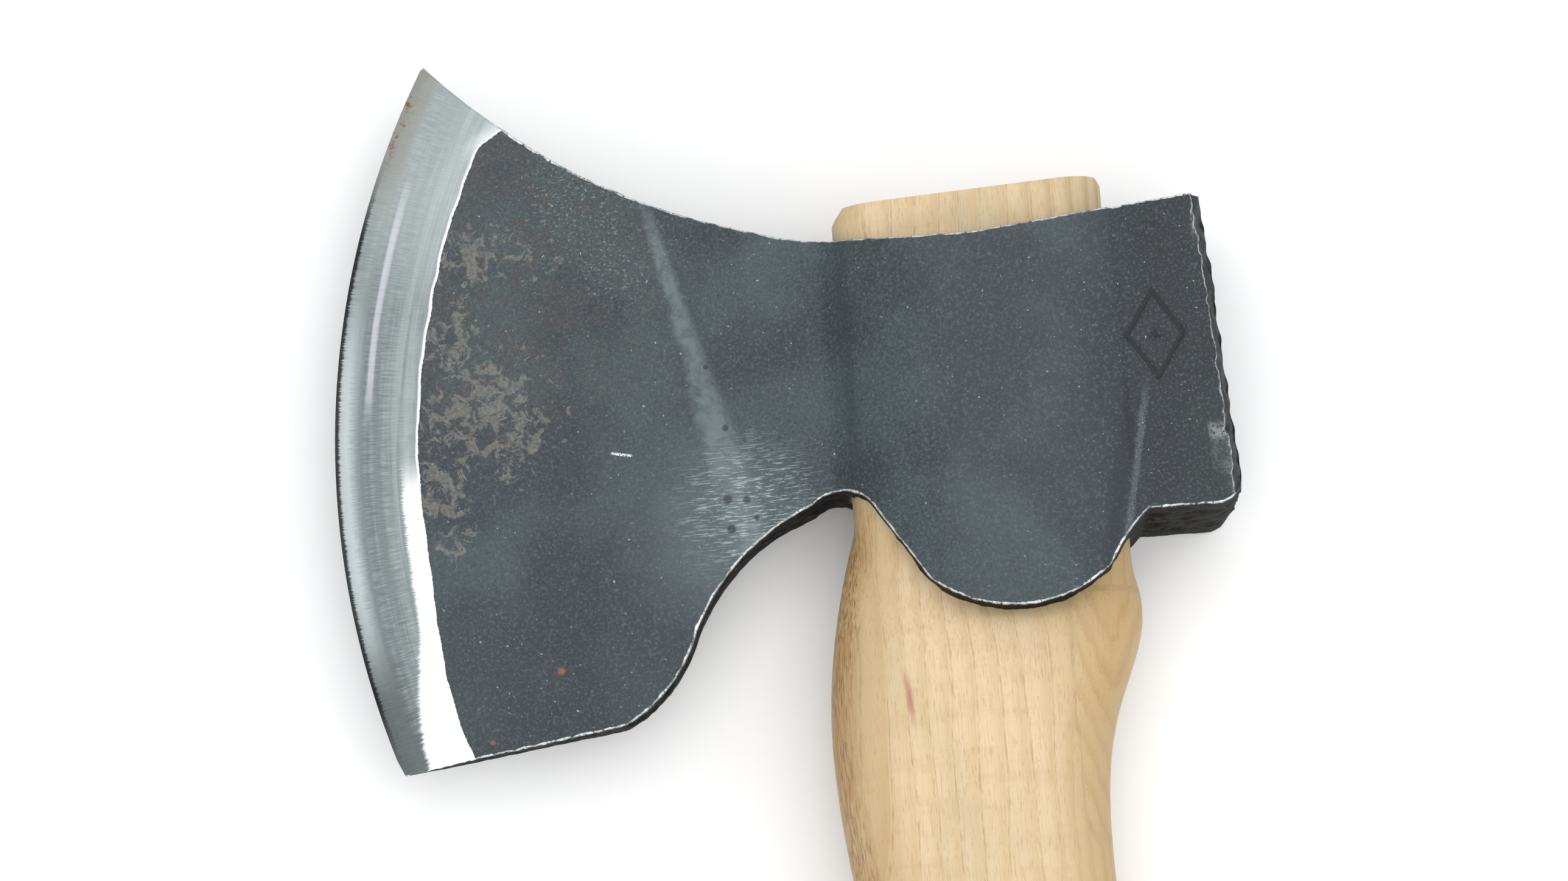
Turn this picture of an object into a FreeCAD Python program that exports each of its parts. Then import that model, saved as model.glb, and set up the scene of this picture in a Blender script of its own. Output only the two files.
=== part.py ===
"""Carving hatchet: a forged head on a curved hickory handle, lying on its side.

Frame, in millimetres: the hatchet lies flat. X runs from the cutting edge (-X) to the
poll (+X), Y runs up the eye from the grip (-Y) to the top of the head (+Y), and Z is the
thickness, from 0 on the surface it lies on. X = Y = 0 is the middle of the eye.
"""
import FreeCAD, Part
import Sketcher
import math
import os
import re

from FreeCAD import Vector

DIMENSIONS = [
    # The blade.
    ("face_length", 115.0, "cutting edge, straight from toe to heel"),
    ("edge_radius", 138.8, "curve of the cutting edge"),
    ("edge_reach", 103.2, "eye to the furthest point of the edge"),
    ("edge_drop", 9.7, "that point, below the middle of the eye"),
    ("toe_rise", 58.0, "toe above the middle of the eye"),
    ("bevel_width", 13.0, "ground bevel, edge to forged cheek"),
    ("bevel_half", 2.68, "half thickness at the back of the bevel"),
    ("hone_width", 1.4, "narrow honed bevel at the very edge"),
    ("hone_half", 0.42, "half thickness at the back of the honed bevel"),
    ("edge_half", 0.03, "half thickness left at the very edge"),
    # The thickness of the head, seen from above.
    ("head_thickness", 32.0, "across the two cheeks at the eye"),
    ("blade_reach", 72.0, "eye to the middle of the thin blade"),
    ("blade_half", 2.9, "half thickness of the blade there"),
    ("crease_reach", 43.0, "eye to the crease where the thin blade ends"),
    ("crease_half", 5.0, "half thickness at that crease"),
    ("ramp_reach", 23.6, "eye to the foot of the bulge round the eye"),
    ("ramp_half", 7.85, "half thickness at the foot of the bulge"),
    ("bulge_reach", 20.5, "eye to where the bulge turns along the eye"),
    ("bulge_fall", 5.65, "how far the cheek has fallen away there"),
    ("cheek_front", 4.0, "front of the flat cheek, ahead of the eye's middle"),
    ("cheek_rear", 22.0, "rear of the flat cheek, behind the eye's middle"),
    ("poll_fall", 0.6, "how far the poll's sides lie below the cheeks"),
    # The outline of the head, seen from the side.
    ("poll_reach", 39.4, "eye to the lower end of the poll's face"),
    ("poll_lean", 3.4, "degrees that the poll's face leans off the eye"),
    ("poll_rise", 24.1, "upper corner of the poll above the eye's middle"),
    ("poll_drop", 25.3, "underside of the poll below the eye's middle"),
    ("poll_corner", 4.2, "corner worn off at the bottom of the poll"),
    ("poll_crown", 1.5, "how far the poll's face stands out between its two long edges"),
    ("crown_width", 4.5, "width of the slope from each long edge to that face"),
    ("brow_rise", 20.3, "top edge above the eye's middle, at the eye"),
    ("brow_radius", 110.6, "hollow of the top edge, from toe to eye"),
    ("notch_reach", 23.0, "eye to the notch behind the beard"),
    ("notch_drop", 18.4, "notch below the eye's middle"),
    ("notch_half", 4.6, "half width of the notch's round"),
    ("notch_radius", 6.0, "radius of that round"),
    ("lug_front", 10.3, "eye to the front corner of the lugs"),
    ("lug_rear", 17.8, "eye to the rear end of the lugs' round"),
    ("lug_drop", 33.6, "ends of the lugs' round below the eye's middle"),
    ("lug_radius", 21.3, "round of the lugs' lower edge"),
    ("lug_tip", 39.3, "just below the lowest point of that round"),
    ("nape_radius", 30.0, "hollow between the lugs and the poll"),
    ("nape_reach", 24.2, "eye to where that hollow meets the poll"),
    ("throat_reach", 47.5, "eye to the steep part of the beard"),
    ("throat_drop", 38.2, "that part, below the eye's middle"),
    ("throat_radius", 34.0, "upper curve of the beard"),
    ("beard_reach", 59.5, "eye to the foot of the beard's curve"),
    ("beard_drop", 51.6, "that foot, below the eye's middle"),
    ("beard_radius", 24.0, "lower curve of the beard"),
    # The eye and what fills it.
    ("eye_depth", 43.0, "eye, front to back"),
    ("eye_width", 20.4, "eye, cheek to cheek, at the lugs"),
    ("eye_corner", 7.0, "round of the eye's corners"),
    ("eye_flare", 1.6, "how much wider the eye is at the top"),
    ("stub_rise", 27.1, "handle's end above the eye's middle, at the front"),
    ("stub_slope", 3.0, "degrees that the end slopes up to the rear"),
    ("stub_bevel", 2.0, "bevel on the end's front and rear corners"),
    ("kerf_depth", 41.0, "saw kerf, down from the handle's end"),
    ("wedge_top", 5.6, "wooden wedge, thickness at the end"),
    ("wedge_tip", 1.4, "wooden wedge, thickness at its tip"),
    ("spike_length", 8.6, "steel wedge, length of each leg"),
    ("spike_plate", 2.0, "steel wedge, thickness of a leg at the top"),
    ("spike_point", 0.6, "steel wedge, thickness of a leg at the point"),
    ("spike_depth", 19.0, "how deep the steel wedge is driven"),
    ("spike_proud", 0.3, "how far it stands out of the wood"),
    # The grip.
    ("handle_length", 370.0, "handle, end to end"),
    ("knob_slope", 12.0, "degrees that the knob's end slopes up to the front"),
    ("knob_round", 4.5, "round of the knob's end"),
    ("butt_front", 34.0, "front of the knob's end"),
    ("butt_back", 16.0, "back of the knob's end"),
    ("butt_half", 14.0, "half thickness of the knob's end"),
    ("butt_corner", 12.8, "round of its corners"),
]

# Cross-sections of the grip, from the head down: the distance below the eye's middle, or
# from the handle's lower end, then front, back, half thickness and the corners' round.
STATIONS = [
    ("root", "drop", 12.0, 17.0, 17.0, 7.0, 5.5),
    ("neck", "drop", 22.0, 21.0, 20.0, 8.4, 6.8),
    ("shoulder", "drop", 30.0, 23.5, 21.0, 9.0, 7.5),
    ("belly", "drop", 40.0, 25.8, 22.6, 11.2, 9.2),
    ("waist", "drop", 54.0, 27.4, 18.0, 12.2, 11.0),
    ("upper", "drop", 80.0, 25.5, 15.0, 13.0, 12.2),
    ("choke", "drop", 125.0, 18.6, 17.2, 13.0, 12.3),
    ("grip", "end", 150.0, 13.2, 20.2, 12.8, 12.1),
    ("palm", "end", 95.0, 13.9, 20.2, 13.0, 12.3),
    ("flare", "end", 55.0, 20.6, 17.6, 13.6, 12.6),
    ("knob", "end", 26.0, 31.0, 16.8, 14.6, 13.2),
]

EDGE_CENTRE_X = "(edge_radius - edge_reach)"
TOE_TURN = "asin((toe_rise + edge_drop) / edge_radius)"
HEEL_TURN = f"({TOE_TURN} - 2 * asin(face_length / 2 / edge_radius))"
POLL_LEAN = "tan(poll_lean)"
STUB_LEAN = "tan(stub_slope)"
CHEEK = "(head_thickness / 2)"
BEVEL_SLOPE = "((bevel_half - hone_half) / (bevel_width - hone_width))"
STUB_TOP = "(stub_rise + eye_depth / 2 * tan(stub_slope))"
HANDLE_END = "(handle_length - stub_rise)"
CLEAR = 12.0    # how far cutting shapes run past what they cut
TURNED = FreeCAD.Placement(Vector(), FreeCAD.Rotation(Vector(0, 1, 0), 1))

doc = FreeCAD.newDocument("carving_hatchet")


def make_sheet():
    """The driving dimensions, one aliased cell each."""
    sheet = doc.addObject("Spreadsheet::Sheet", "dims")
    rows = list(DIMENSIONS)
    for name, measured, place, front, back, half, corner in STATIONS:
        rows.append((f"{name}_{measured}", place, f"{name} section, place on the handle"))
        rows.append((f"{name}_front", front, f"{name} section, front"))
        rows.append((f"{name}_back", back, f"{name} section, back"))
        rows.append((f"{name}_half", half, f"{name} section, half thickness"))
        rows.append((f"{name}_corner", corner, f"{name} section, round of its corners"))
    for row, (alias, value, meaning) in enumerate(rows, start=1):
        sheet.set(f"A{row}", alias)
        sheet.set(f"B{row}", str(value))
        sheet.set(f"C{row}", meaning)
        sheet.setAlias(f"B{row}", alias)
    doc.recompute()
    return sheet, [alias for alias, _, _ in rows]


sheet, aliases = make_sheet()
ALIAS = re.compile(r"\b(" + "|".join(aliases) + r")\b")


def size(expression):
    """A number worked out from the sheet."""
    result = sheet.evalExpression(expression)
    return float(getattr(result, "Value", result))


def expand(expression):
    """The same expression as another object writes it, with the sheet's name in front."""
    return ALIAS.sub(r"dims.\1", expression)


def origin_plane(body, role):
    """One of the body's own origin planes."""
    for feature in body.Origin.OriginFeatures:
        if feature.Role == role:
            return feature
    raise ValueError(role)


def make_body(name):
    """An empty body whose XY plane is the middle of the hatchet's thickness."""
    body = doc.addObject("PartDesign::Body", name)
    body.Label = name
    body.setExpression(".Placement.Base.z", expand(CHEEK))
    return body


def make_sketch(body, name, role):
    """A sketch on one of the body's origin planes."""
    sketch = body.newObject("Sketcher::SketchObject", name)
    sketch.AttachmentSupport = [(origin_plane(body, role), "")]
    sketch.MapMode = "FlatFace"
    return sketch


def cross_section(body, name, drop, across="0", turn=None):
    """A sketch across the eye's line, at a distance below the eye's middle.

    Its x is the hatchet's X and its y is the thickness. A turn swings it about Z.
    """
    sketch = make_sketch(body, name, "XZ_Plane")
    if turn:
        sketch.AttachmentOffset = TURNED
        sketch.setExpression(".AttachmentOffset.Rotation.Angle", expand(turn))
    sketch.setExpression(".AttachmentOffset.Base.x", expand(across))
    sketch.setExpression(".AttachmentOffset.Base.z", expand(drop))
    return sketch


def arc_between(start, end, radius):
    """An arc that bows to the left of the run from start to end, or right if negative."""
    run = end - start
    half = run.Length / 2
    left = Vector(-run.y, run.x, 0).normalize()
    side = math.copysign(1.0, radius)
    centre = (start + end) * 0.5 - left * (side * math.sqrt(radius * radius - half * half))
    first, last = (end, start) if side > 0 else (start, end)
    angles = [math.atan2(p.y - centre.y, p.x - centre.x) for p in (first, last)]
    return Part.ArcOfCircle(Part.Circle(centre, Vector(0, 0, 1), abs(radius)), *angles)


def bind(sketch, name, constraint, expression):
    """Adds a constraint and ties its value to the sheet."""
    sketch.renameConstraint(sketch.addConstraint(constraint), name)
    sketch.setExpression(f"Constraints.{name}", expand(expression))


def add_outline(sketch, corners):
    """A closed outline of (name, x, y, radius of the arc to the next corner, or None).

    Two distances hold each corner and a radius holds each arc, all tied to the sheet.
    """
    first = sketch.GeometryCount
    count = len(corners)
    points = [Vector(size(x), size(y), 0) for _, x, y, _ in corners]
    ends = []
    for index, (_, _, _, radius) in enumerate(corners):
        start, end = points[index], points[(index + 1) % count]
        if radius is None:
            sketch.addGeometry(Part.LineSegment(start, end))
        else:
            sketch.addGeometry(arc_between(start, end, size(radius)))
        backwards = radius is not None and size(radius) > 0
        ends.append((2, 1) if backwards else (1, 2))
    for index in range(count):
        after = (index + 1) % count
        sketch.addConstraint(Sketcher.Constraint(
            "Coincident", first + index, ends[index][1], first + after, ends[after][0]))
    for index, (name, x, y, radius) in enumerate(corners):
        here, start = first + index, ends[index][0]
        bind(sketch, f"{name}_x", Sketcher.Constraint("DistanceX", here, start, size(x)), x)
        bind(sketch, f"{name}_y", Sketcher.Constraint("DistanceY", here, start, size(y)), y)
        if radius is not None:
            value = abs(size(radius))
            bind(sketch, f"{name}_r", Sketcher.Constraint("Radius", here, value), f"abs({radius})")


def mirrored(corners):
    """The same outline on the other side of the middle plane."""
    flipped = []
    for index, (name, x, y, _) in enumerate(corners):
        radius = corners[index - 1][3]
        flipped.append((f"under_{name}", x, f"-({y})", radius))
    return flipped[::-1]


def add_oval(sketch, front, back, half, corner):
    """A rounded oblong from -front to back along X: its four corners have one radius."""
    left, right = f"-({front}) + {corner}", f"({back}) - {corner}"
    high = f"{half} - {corner}"
    add_outline(sketch, [
        ("top_front", left, half, None),
        ("top_back", right, half, corner),
        ("back_top", back, high, None),
        ("back_low", back, f"-({high})", corner),
        ("low_back", right, f"-({half})", None),
        ("low_front", left, f"-({half})", corner),
        ("front_low", f"-({front})", f"-({high})", None),
        ("front_top", f"-({front})", high, corner),
    ])


def pad(body, sketch, length):
    """Extrudes a sketch equally to both sides."""
    feature = body.newObject("PartDesign::Pad", f"{sketch.Name}_pad")
    feature.Profile = sketch
    feature.SideType = "Symmetric"
    feature.setExpression("Length", expand(length))
    doc.recompute()
    return feature


def loft(body, kind, name, sketches, ruled):
    """A loft through sections, added to the body or taken from it."""
    feature = body.newObject(f"PartDesign::{kind}Loft", name)
    feature.Profile = sketches[0]
    feature.Sections = sketches[1:]
    feature.Ruled = ruled
    return feature


def take_off(body, feature, before):
    """Recomputes after a cut and stops if it has taken nothing off."""
    doc.recompute()
    if feature.Shape.isNull() or feature.Shape.Volume > before - 1:
        raise RuntimeError(f"{feature.Name} cut nothing")
    return feature.Shape.Volume


def cut_through(body, sketch):
    """Cuts a sketch through the body, to both sides."""
    before = body.Shape.Volume
    feature = body.newObject("PartDesign::Pocket", f"{sketch.Name}_cut")
    feature.Profile = sketch
    feature.Type = "ThroughAll"
    feature.SideType = "Symmetric"
    take_off(body, feature, before)


def head_outline():
    """Side view of the head, clockwise from the toe."""
    toe_x = f"{EDGE_CENTRE_X} - edge_radius * cos({TOE_TURN})"
    heel_x = f"{EDGE_CENTRE_X} - edge_radius * cos({HEEL_TURN})"
    heel_y = f"edge_radius * sin({HEEL_TURN}) - edge_drop"
    poll_height = "(poll_drop + poll_rise)"
    return [
        ("toe", toe_x, "toe_rise", "-brow_radius"),
        ("brow", "0", "brow_rise", None),
        ("poll_upper", f"poll_reach - {poll_height} * {POLL_LEAN}", "poll_rise", None),
        ("poll_lower", f"poll_reach - poll_corner * {POLL_LEAN}",
         "poll_corner - poll_drop", "poll_corner"),
        ("poll_foot", "poll_reach - poll_corner", "-poll_drop", None),
        ("nape", "nape_reach", "-poll_drop", "-nape_radius"),
        ("lug_rear", "lug_rear", "-lug_drop", "lug_radius"),
        ("lug_front", "-lug_front", "-lug_drop", None),
        ("notch_rear", "-notch_reach + notch_half", "-notch_drop - notch_half / 2",
         "-notch_radius"),
        ("notch_front", "-notch_reach - notch_half", "-notch_drop - notch_half / 4",
         "-throat_radius"),
        ("throat", "-throat_reach", "-throat_drop", "beard_radius"),
        ("beard", "-beard_reach", "-beard_drop", None),
        ("heel", heel_x, heel_y, "edge_radius"),
    ]


def cheek_relief():
    """Top view of what is forged away above the blade, the bulge and the poll."""
    slope = "((blade_half - bevel_half) / (edge_reach - bevel_width - blade_reach))"
    front = f"(edge_reach + {CLEAR})"
    above = f"{CHEEK} + {CLEAR}"
    run = "(bulge_reach - cheek_front)"
    bulge = f"(({run} * {run} + bulge_fall * bulge_fall) / (2 * bulge_fall))"
    return [
        ("ahead", f"-{front}", f"blade_half - {slope} * ({front} - blade_reach)", None),
        ("blade", "-blade_reach", "blade_half", None),
        ("crease", "-crease_reach", "crease_half", None),
        ("ramp", "-ramp_reach", "ramp_half", None),
        ("bulge", "-bulge_reach", f"{CHEEK} - bulge_fall", bulge),
        ("cheek_front", "-cheek_front", CHEEK, None),
        ("cheek_rear", "cheek_rear", CHEEK, None),
        ("poll_front", "cheek_rear + poll_fall", f"{CHEEK} - poll_fall", None),
        ("behind", f"poll_reach + {CLEAR}", f"{CHEEK} - poll_fall", None),
        ("behind_top", f"poll_reach + {CLEAR}", above, None),
        ("ahead_top", f"-{front}", above, None),
    ]


def bevel_relief():
    """What is ground away above the bevel, in a plane through the edge's own axis."""
    inner = f"(bevel_width + {CLEAR} / 2)"
    rise = f"(bevel_half + {CLEAR} / 2 * {BEVEL_SLOPE})"
    above = f"{CHEEK} + {CLEAR}"
    return [
        ("edge", "-edge_radius", "edge_half", None),
        ("hone", "-edge_radius + hone_width", "hone_half", None),
        ("inner", f"-edge_radius + {inner}", rise, None),
        ("inner_top", f"-edge_radius + {inner}", above, None),
        ("outer_top", f"-edge_radius - {CLEAR}", above, None),
        ("outer", f"-edge_radius - {CLEAR}", "edge_half", None),
    ]


def eye_loft(body, kind):
    """The tapered oval of the eye, from below the lugs to above the handle's end."""
    bottom = cross_section(body, f"{body.Name}_eye_bottom", "lug_tip")
    add_oval(bottom, "eye_depth / 2", "eye_depth / 2", "eye_width / 2", "eye_corner")
    top = cross_section(body, f"{body.Name}_eye_top", f"-({STUB_TOP} + {CLEAR})")
    add_oval(top, "eye_depth / 2", "eye_depth / 2", "(eye_width + eye_flare) / 2", "eye_corner")
    return loft(body, kind, f"{body.Name}_eye", [bottom, top], True)


def crown_relief():
    """What is off the poll's two long edges, seen along the poll's own leaning face."""
    side = f"{CHEEK} - poll_fall"
    clear = f"{CLEAR}"
    return [
        ("side", "-poll_crown", side, None),
        ("face", "0", f"{side} - crown_width", None),
        ("face_out", clear, f"{side} - crown_width", None),
        ("side_out", clear, f"{side} + {CLEAR}", None),
        ("side_above", "-poll_crown", f"{side} + {CLEAR}", None),
    ]


def make_axe_head():
    """One forging: blade, beard, eye with its lugs, and poll."""
    body = make_body("axe_head")
    side = make_sketch(body, "head_side", "XY_Plane")
    add_outline(side, head_outline())
    pad(body, side, "head_thickness")
    relief = cross_section(body, "cheek_relief", "0")
    add_outline(relief, cheek_relief())
    add_outline(relief, mirrored(cheek_relief()))
    cut_through(body, relief)
    before = body.Shape.Volume
    grind = cross_section(body, "bevel_relief", "edge_drop", EDGE_CENTRE_X)
    add_outline(grind, bevel_relief())
    add_outline(grind, mirrored(bevel_relief()))
    bevel = body.newObject("PartDesign::Groove", "bevel")
    bevel.Profile = grind
    bevel.ReferenceAxis = (grind, ["V_Axis"])
    bevel.Angle = 360
    before = take_off(body, bevel, before)
    take_off(body, eye_loft(body, "Subtractive"), before)
    crown = cross_section(body, "crown_relief", "poll_drop", "poll_reach", "poll_lean")
    add_outline(crown, crown_relief())
    add_outline(crown, mirrored(crown_relief()))
    cut_through(body, crown)
    return body


def make_eye_fill():
    """Everything that fills the eye, from the lugs to the handle's sloping end."""
    body = make_body("eye_fill")
    eye_loft(body, "Additive")
    doc.recompute()
    front, rear = "(-eye_depth / 2)", "(eye_depth / 2)"
    above = f"{STUB_TOP} + 2 * {CLEAR}"
    end = make_sketch(body, "handle_end", "XY_Plane")
    add_outline(end, [
        ("front_low", f"{front} - {CLEAR}", "stub_rise - stub_bevel", None),
        ("front_side", front, "stub_rise - stub_bevel", None),
        ("front_top", f"{front} + stub_bevel", f"stub_rise + stub_bevel * {STUB_LEAN}", None),
        ("rear_top", f"{rear} - stub_bevel / 2",
         f"stub_rise + (eye_depth - stub_bevel / 2) * {STUB_LEAN}", None),
        ("rear_side", rear, f"stub_rise + eye_depth * {STUB_LEAN} - stub_bevel / 2", None),
        ("rear_low", f"{rear} + {CLEAR}",
         f"stub_rise + eye_depth * {STUB_LEAN} - stub_bevel / 2", None),
        ("rear_above", f"{rear} + {CLEAR}", above, None),
        ("front_above", f"{front} - {CLEAR}", above, None),
    ])
    cut_through(body, end)
    return body


def make_kerf():
    """The tapered slot that the wooden wedge fills, front to back across the eye."""
    body = make_body("kerf")
    sketch = make_sketch(body, "kerf_side", "YZ_Plane")
    tip = f"{STUB_TOP} - kerf_depth"
    top = f"{STUB_TOP} + {CLEAR}"
    grown = f"(wedge_top / 2 + (wedge_top - wedge_tip) / 2 * {CLEAR} / kerf_depth)"
    add_outline(sketch, [
        ("tip_upper", tip, "wedge_tip / 2", None),
        ("top_upper", top, grown, None),
        ("top_lower", top, f"-{grown}", None),
        ("tip_lower", tip, "-wedge_tip / 2", None),
    ])
    pad(body, sketch, "eye_depth")
    return body


def three_legs(sketch, thickness):
    """Outline of three legs, a third of a turn apart, with the first towards the poll."""
    corners = []
    for leg in range(3):
        turn = 120 * leg
        across = f"({thickness}) / 2"
        for side in (-1, 1):
            corners.append((
                f"leg{leg}_{side + 1}",
                f"spike_length * cos({turn}) - {side} * {across} * sin({turn})",
                f"spike_length * sin({turn}) + {side} * {across} * cos({turn})", None))
        crotch = f"({across} / sin(60))"
        corners.append((f"crotch{leg}", f"{crotch} * cos({turn + 60})",
                        f"{crotch} * sin({turn + 60})", None))
    add_outline(sketch, corners)


def make_steel_wedge():
    """The three-legged steel wedge, driven into the end of the handle."""
    body = make_body("steel_wedge")
    top = cross_section(body, "spike_top", f"-({STUB_TOP} + spike_proud)")
    three_legs(top, "spike_plate")
    point = cross_section(body, "spike_foot", f"spike_depth - {STUB_TOP} - spike_proud")
    three_legs(point, "spike_point")
    loft(body, "Additive", "spike", [top, point], True)
    doc.recompute()
    return body


def make_grip_blank():
    """The oval, curved grip, from inside the eye down to the knob."""
    body = make_body("grip_blank")
    sections = []
    for name, measured, *_ in STATIONS:
        drop = f"{name}_drop" if measured == "drop" else f"{HANDLE_END} - {name}_end"
        sketch = cross_section(body, f"section_{name}", drop)
        add_oval(sketch, f"{name}_front", f"{name}_back", f"{name}_half", f"{name}_corner")
        sections.append(sketch)
    back = "(butt_back - knob_round)"
    for name, lift in (("butt", "knob_round"), ("end", "0")):
        inset = "0" if name == "butt" else "knob_round"
        drop = f"{HANDLE_END} - {back} * sin(knob_slope) - {lift}"
        sketch = cross_section(body, f"section_{name}", drop, turn="-knob_slope")
        add_oval(sketch, f"butt_front - {inset}", f"butt_back - {inset}",
                 f"butt_half - {inset}", f"(butt_corner - {inset})")
        sections.append(sketch)
    loft(body, "Additive", "grip_loft", sections, False)
    doc.recompute()
    return body


def boolean(kind, name, base, tool):
    """A Part boolean of two objects."""
    result = doc.addObject(f"Part::{kind}", name)
    result.Label = name
    result.Base = base
    result.Tool = tool
    doc.recompute()
    return result


def check(objects):
    """Stops unless every object is sound and every sub-part is one valid solid."""
    failed = [o.Name for o in doc.Objects if {"Invalid", "Error"} & set(o.State)]
    for part in objects:
        if part.Shape.isNull() or not part.Shape.isValid() or len(part.Shape.Solids) != 1:
            failed.append(part.Label)
    if failed:
        raise RuntimeError(f"not sound: {failed}")


def main():
    axe_head = make_axe_head()
    eye_fill = make_eye_fill()
    kerf = make_kerf()
    steel_wedge = make_steel_wedge()
    grip_blank = make_grip_blank()
    wedge_blank = boolean("Common", "wedge_blank", eye_fill, kerf)
    wooden_wedge = boolean("Cut", "wooden_wedge", wedge_blank, steel_wedge)
    blank = boolean("Fuse", "handle_blank", eye_fill, grip_blank)
    fitted = boolean("Cut", "handle_fitted", blank, axe_head)
    slotted = boolean("Cut", "handle_slotted", fitted, kerf)
    handle = boolean("Cut", "handle", slotted, steel_wedge)
    parts = [axe_head, handle, wooden_wedge, steel_wedge]
    check(parts)
    os.makedirs("parts", exist_ok=True)
    for part in parts:
        part.Shape.exportStep(f"parts/{part.Label}.step")
        box = part.Shape.BoundBox
        print(f"{part.Label}: {part.Shape.Volume:.0f} mm3, X {box.XMin:.1f} {box.XMax:.1f}, "
              f"Y {box.YMin:.1f} {box.YMax:.1f}, Z {box.ZMin:.1f} {box.ZMax:.1f}")


main()
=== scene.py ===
"""Looks of the carving hatchet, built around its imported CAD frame. Metres throughout.

The hatchet lies on its side: X from the cutting edge to the poll, Y up the eye, Z up.
"""
import math

import bmesh
import bpy
import numpy as np
from mathutils import Matrix, Vector, noise
from mathutils.bvhtree import BVHTree


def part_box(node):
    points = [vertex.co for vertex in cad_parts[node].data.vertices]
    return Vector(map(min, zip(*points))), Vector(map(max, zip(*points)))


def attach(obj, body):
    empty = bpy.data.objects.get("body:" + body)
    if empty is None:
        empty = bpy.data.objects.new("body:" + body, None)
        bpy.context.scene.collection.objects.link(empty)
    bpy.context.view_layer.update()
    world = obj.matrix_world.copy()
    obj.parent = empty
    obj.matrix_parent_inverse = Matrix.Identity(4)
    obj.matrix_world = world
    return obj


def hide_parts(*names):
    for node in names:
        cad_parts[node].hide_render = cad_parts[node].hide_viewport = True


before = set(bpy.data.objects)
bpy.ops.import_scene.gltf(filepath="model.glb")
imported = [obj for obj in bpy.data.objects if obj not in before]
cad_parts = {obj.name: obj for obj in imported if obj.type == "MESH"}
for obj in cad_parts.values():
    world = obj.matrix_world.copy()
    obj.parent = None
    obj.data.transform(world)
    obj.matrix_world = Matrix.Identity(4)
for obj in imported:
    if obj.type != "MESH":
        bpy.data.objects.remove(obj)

MM = 0.001
TURN = 2 * math.pi
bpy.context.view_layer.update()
HEAD_LOW, HEAD_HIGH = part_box("axe_head")
MIDDLE = (HEAD_LOW.z + HEAD_HIGH.z) / 2    # height of the plane the hatchet is symmetric about

BEVEL = 13 * MM             # width of the ground bevel
CROWN = 1.5 * MM            # how far the poll's face stands out between its long edges
CREASE_LEAN = 0.245         # lean of the crease between blade and body off the eye's line
MARK = (27.5 * MM, 2.0 * MM)    # middle of the mark struck by the poll
MARK_HALF = (4.4, 6.8)      # half width and half height of the mark, in millimetres
MARK_DEPTH = 0.28 * MM
NEAR_SEED, FAR_SEED = 1.0, 40.0     # one pattern of hammer marks for each cheek
ROWS = 126                  # rows of the head's grid between its rims
WALL_ROWS = 37              # rows from cheek to cheek round the outline
# Places, in millimetres, where the grid is close because the surface turns there.
RIM_STEPS = (0.0, 0.12, 0.26, 0.42, 0.62, 0.9, 1.3, 1.9)    # inside the rim
EDGE_STEPS = (0.0, 0.3, 0.6, 1.0, 1.4)      # inside the cutting edge
POLL_STEPS = (2.6, 2.2, 1.8, 1.5, 1.25, 1.0, 0.75, 0.5, 0.25, 0.0)      # before the poll's face
END_STEPS = (0.03, 0.2, 0.5, 1.0, 1.6, 2.3, 3.1, 4.0, 5.0, 6.2, 7.6, 9.2)   # up the knob
# What the steel's material reads at each point. In millimetres: distance inside the edge,
# distance along it, how much the bevel has ground off and distance to the rim. Then how
# dark a wall is painted there: 0 on the cheeks, and full painted shade on the walls below.
HEAD_MEASURES = ("inset", "along", "ground", "rim", "wall")
# Places on the near cheek, in millimetres: X, Y and radius, then how strongly it shows.
FLAKED = ((-78.5, -1.0, 11.0, 1.0), (-86.0, -12.0, 5.0, 1.1), (-84.0, 12.0, 6.0, 1.0),
          (-80.0, 25.0, 6.0, 0.95), (-74.0, 27.0, 5.0, 0.7), (-68.0, 23.0, 5.0, 0.6),
          (-84.0, -21.0, 4.0, 0.8))
PITS = ((-41.0, -17.3, 0.75), (-38.0, -17.6, 0.6), (-40.7, -22.0, 0.7), (-36.6, -20.6, 0.4),
        (-40.6, -5.9, 0.5), (-43.0, 4.1, 0.4), (28.6, 19.3, 0.5), (29.6, 15.0, 0.6),
        (27.4, 17.4, 0.4))
RUST = ((-69.0, -42.2, 0.55), (-80.5, -52.5, 0.35))
EYE_POINTS = 96             # points round the cut of the eye
EYE_READ = 10 * MM          # heights, up and down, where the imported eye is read
EYE_REACH = 50 * MM         # heights, up and down, where the cutter ends
EYE_ROOM = 0.06 * MM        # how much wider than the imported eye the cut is, all round
RING_POINTS = 112           # points round each section of the handle
BEHIND_FRONT = 30.0         # millimetres the tenon is given as its distance from the front edge
HEAD_CREASE, HANDLE_CREASE = 50, 35     # degrees above which an edge stays sharp


# ---------------------------------------------------------------- camera, floor and light

def look_matrix(eye, back, roll):
    """Placement of a camera at eye, its back along a direction, turned by roll degrees."""
    turn = math.radians(roll)
    up = Vector((math.sin(turn), math.cos(turn), 0))
    up = (up - back * up.dot(back)).normalized()
    right = up.cross(back)
    matrix = Matrix((right, up, back)).transposed().to_4x4()
    matrix.translation = eye
    return matrix


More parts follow.
